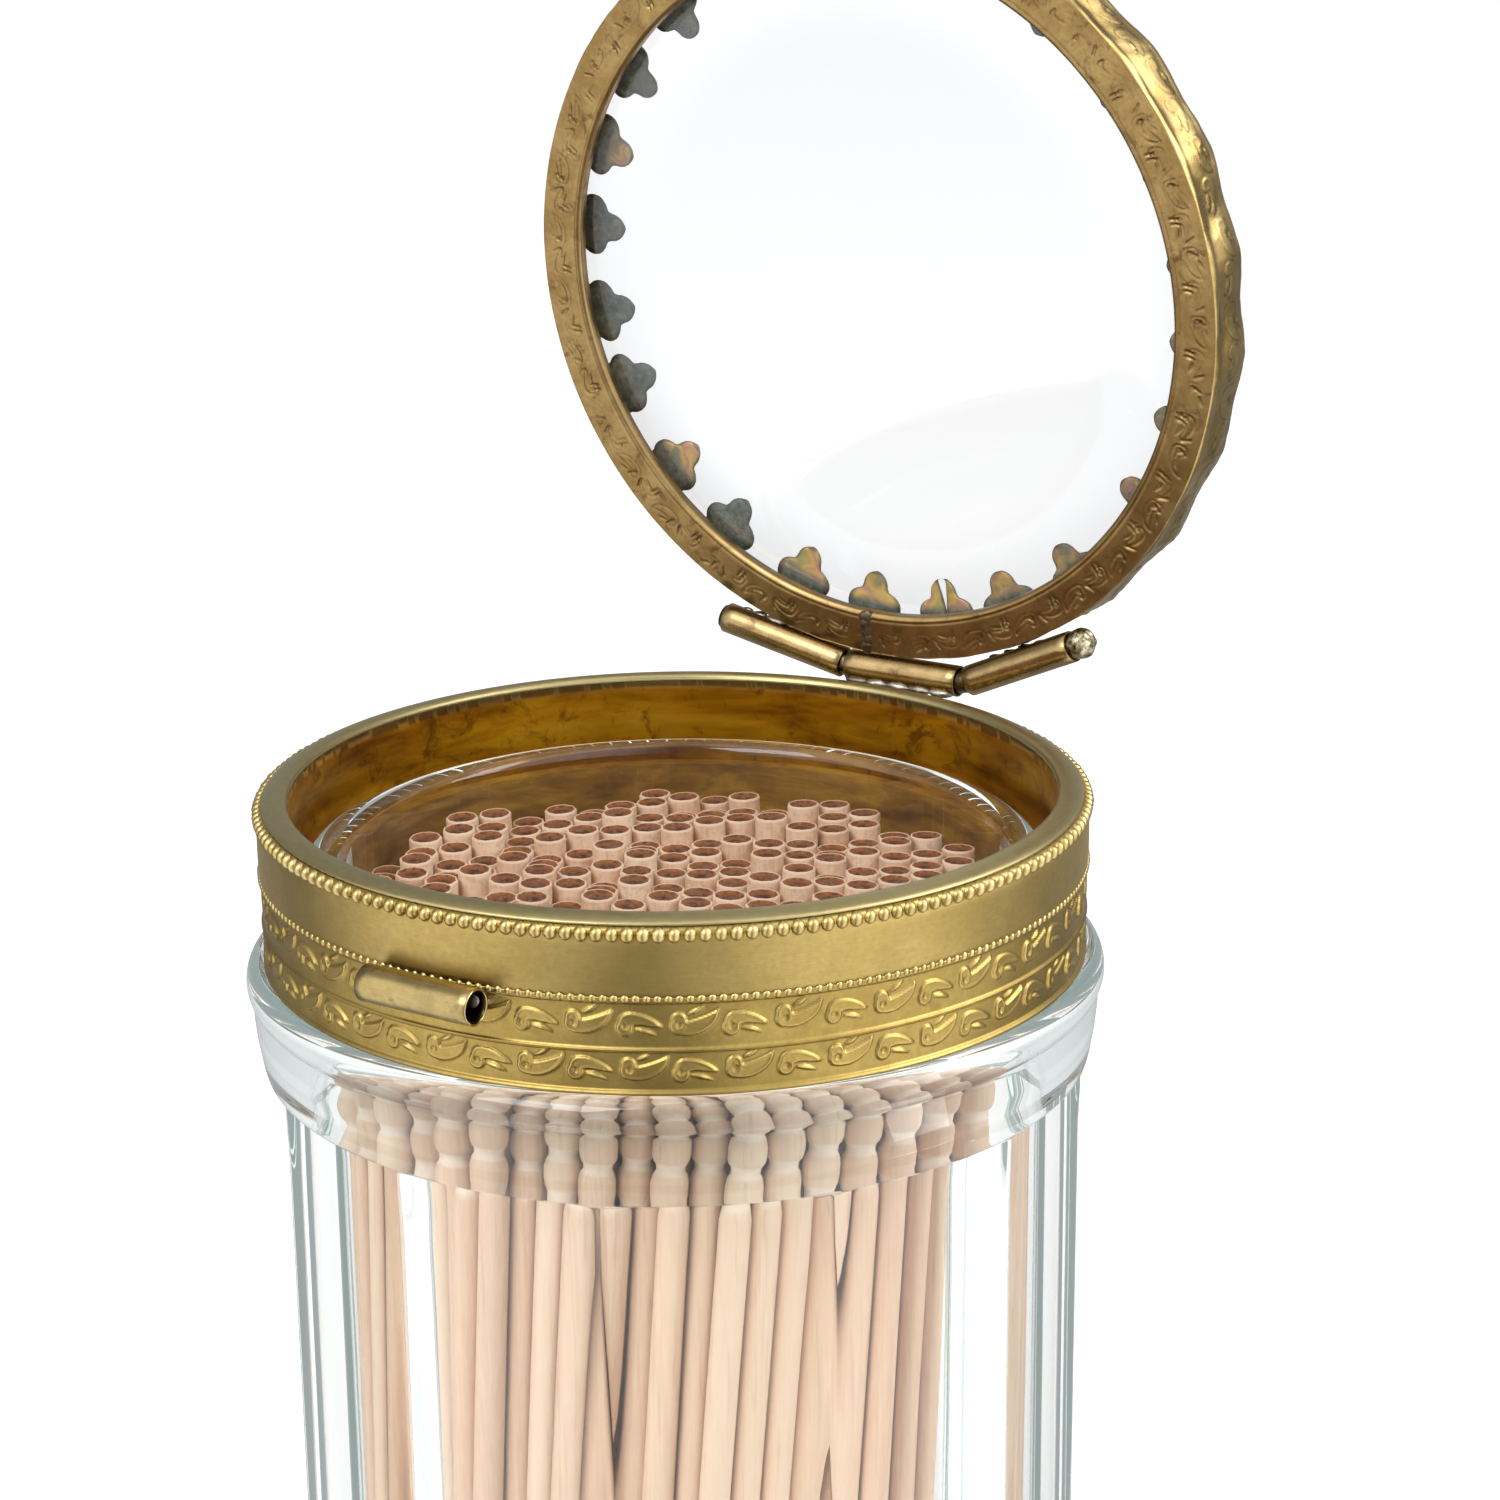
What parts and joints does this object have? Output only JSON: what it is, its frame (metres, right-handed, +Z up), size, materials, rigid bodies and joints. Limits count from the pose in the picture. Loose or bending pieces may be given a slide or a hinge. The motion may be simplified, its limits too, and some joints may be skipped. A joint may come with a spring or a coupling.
{
  "type": "toothpick holder",
  "caption": "Panelled clear glass jar with an ornamental brass collar, a hinged glazed brass lid with folded prongs, and wooden toothpicks standing inside.",
  "frame": {"origin": "middle of the jar's flat foot, on the jar's axis", "axes": "+Z up along the jar's axis, +Y towards the lid's hinge, -Y towards the catch tube"},
  "size_m": [0.0522, 0.0572, 0.1292],
  "materials": {
    "jar_glass": "clear pressed glass with a faint green-grey tint in its edges",
    "lid_glass": "clear polished glass",
    "collar_brass": "satin antique brass, embossed foliage",
    "bead_brass": "bright worn beads",
    "sleeve_brass": "amber tarnished brass inside, smooth lip",
    "tube_brass": "drawn brass tube, lightly tarnished",
    "ring_brass": "golden brown engraved brass",
    "lid_brass": "chased brass with grey-green patina on the prongs",
    "pin_metal": "soft wire with a crumpled bright end",
    "solder": "dull grey solder",
    "neck_cement": "stained cement",
    "pick_wood": "pale birch with burnt brown heads"
  },
  "bodies": {
    "jar": {"jar_body": "jar_glass", "neck_cement": "neck_cement", "collar_sleeve": "sleeve_brass", "collar_band": "collar_brass", "bead_row": "bead_brass", "catch_tube": "tube_brass", "catch_solder": "solder", "hinge_knuckle_middle": "tube_brass", "hinge_solder_collar": "solder", "pick_row_01": "pick_wood", "pick_row_02": "pick_wood", "pick_row_03": "pick_wood", "pick_row_04": "pick_wood", "pick_row_05": "pick_wood", "pick_row_06": "pick_wood", "pick_row_07": "pick_wood", "pick_row_08": "pick_wood", "pick_row_09": "pick_wood", "pick_row_10": "pick_wood", "pick_row_11": "pick_wood", "pick_row_12": "pick_wood", "pick_row_13": "pick_wood", "pick_row_14": "pick_wood", "pick_row_15": "pick_wood", "pick_row_16": "pick_wood", "pick_row_17": "pick_wood", "pick_row_18": "pick_wood", "pick_row_19": "pick_wood", "pick_row_20": "pick_wood"},
    "lid": {"hinge_pin": "pin_metal", "hinge_knuckle_left": "tube_brass", "hinge_knuckle_right": "tube_brass", "hinge_solder_left": "solder", "hinge_solder_right": "solder", "lid_ring": "ring_brass", "lid_prong_wall": "lid_brass", "lid_seam_solder": "solder", "lid_glass": "lid_glass"}
  },
  "joints": [
    {"name": "lid_hinge", "type": "hinge", "parent": "jar", "child": "lid", "pos_m": [0, 0.0257, 0.07855], "axis": [-1, 0, 0], "range_deg": [-83.5, 22.5]}
  ]
}
